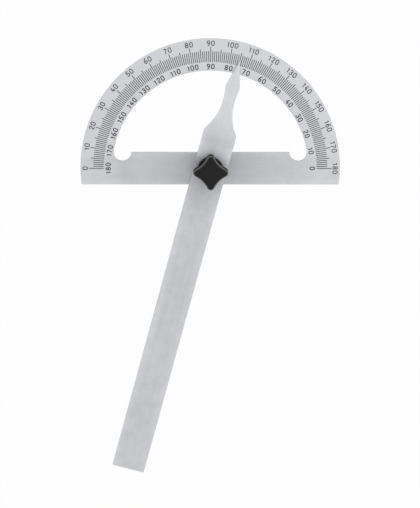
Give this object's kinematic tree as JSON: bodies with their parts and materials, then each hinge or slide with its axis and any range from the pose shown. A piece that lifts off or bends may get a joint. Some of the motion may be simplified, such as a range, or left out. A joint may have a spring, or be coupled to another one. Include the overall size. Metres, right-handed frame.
{
  "type": "bevel protractor",
  "caption": "Bevel protractor: half-round degree arc with a straight bar, a swinging blade with a spear pointer and a star grip clamp.",
  "frame": {"origin": "on the pivot axis, at the flat back of the tool (face of the flush stud head, level with the back of the arc frame)", "axes": "+Z out of the front face towards the star grip, along the pivot axis; +Y towards the 90 degree mark of the arc; +X towards the 180 degree end of the outer scale"},
  "size_m": [0.12, 0.2063, 0.0159],
  "materials": {
    "steel_plate": "satin, fine lengthwise grain",
    "steel_blade": "satin, fine lengthwise grain",
    "stud_steel": "zinc plated, turned",
    "washer_steel": "zinc plated",
    "black_plastic": "fine spark-eroded mould texture",
    "scale_black": "matt black fill of the etched degree lines and numerals",
    "insert_brass": "turned"
  },
  "bodies": {
    "frame": {"arc_frame": "steel_plate", "clamp_stud": "stud_steel"},
    "blade": {"blade": "steel_blade"},
    "washer": {"flat_washer": "washer_steel"},
    "knob": {"knob_grip": "black_plastic", "knob_insert": "insert_brass"}
  },
  "joints": [
    {"name": "blade_swing", "type": "hinge", "parent": "frame", "child": "blade", "pos_m": [0, 0, 0.0018], "axis": [0, 0, 1], "continuous": true},
    {"name": "knob_turn", "type": "hinge", "parent": "frame", "child": "washer", "pos_m": [0, 0, 0.0029], "axis": [0, 0, 1], "range_deg": [0, 720]},
    {"name": "knob_rise", "type": "slide", "parent": "washer", "child": "knob", "axis": [0, 0, 1], "range_m": [0, 0.0016]}
  ],
  "couplings": [
    {"joint": "knob_turn", "follows": "knob_rise", "rad_per_m": 7854}
  ]
}
